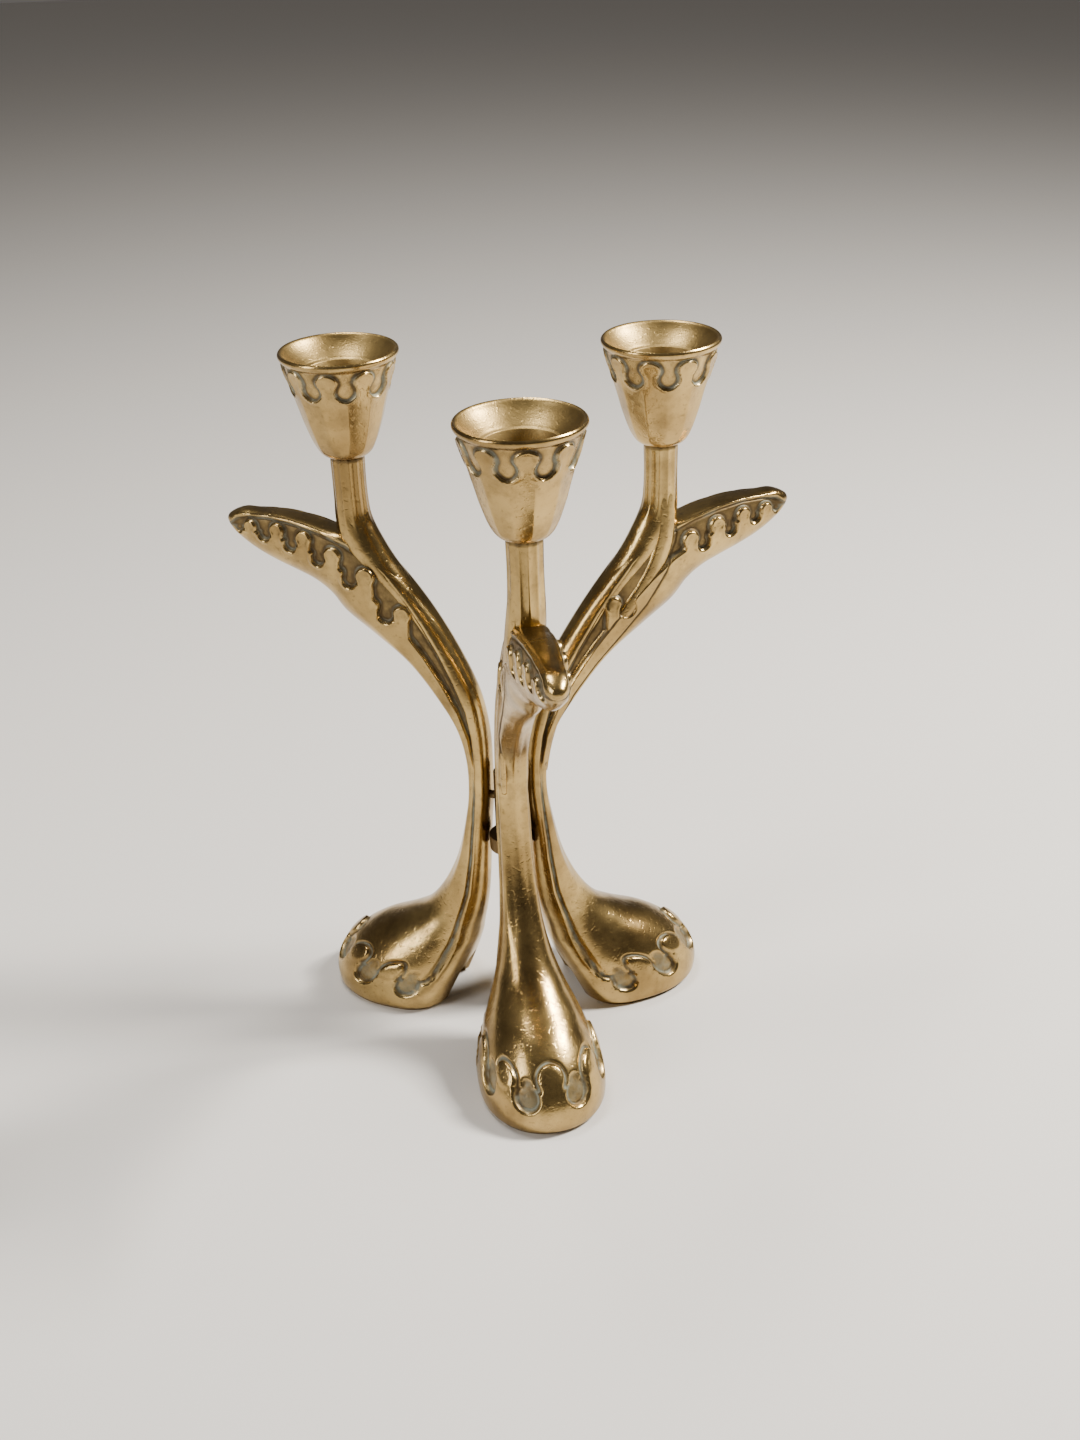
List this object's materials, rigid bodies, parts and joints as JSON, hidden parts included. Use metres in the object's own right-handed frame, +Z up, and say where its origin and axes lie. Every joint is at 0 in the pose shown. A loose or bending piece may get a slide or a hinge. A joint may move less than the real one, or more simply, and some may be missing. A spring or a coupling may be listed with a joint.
{
  "type": "tabletop candelabra",
  "caption": "Cast brass tabletop candelabra: curved arms on hollow feet meet at a narrow waist and spread again, each arm with an outward leaf and a bell-shaped candle cup on a post.",
  "frame": {"origin": "middle of the bounding box, on the surface the feet stand on", "axes": "+Z up, the long way of the object; -Y roughly along the front arm, whose cup and foot come out that way; +X to the right of someone who faces the front arm"},
  "size_m": [0.1982, 0.1492, 0.251],
  "materials": {
    "arm_brass": "aged cast brass, polished on the high places, dark in the recesses",
    "cup_brass": "aged cast brass, satin inside the cup",
    "screw_brass": "plain turned brass",
    "core_brass": "dark unpolished brass"
  },
  "bodies": {
    "root": {"arm_front": "arm_brass", "arm_left": "arm_brass", "arm_right": "arm_brass", "cup_front": "cup_brass", "cup_left": "cup_brass", "cup_right": "cup_brass", "cup_screw_front": "screw_brass", "cup_screw_left": "screw_brass", "cup_screw_right": "screw_brass", "hub_core": "core_brass", "hub_pin_front": "core_brass", "hub_pin_left": "core_brass", "hub_pin_right": "core_brass"}
  },
  "joints": []
}
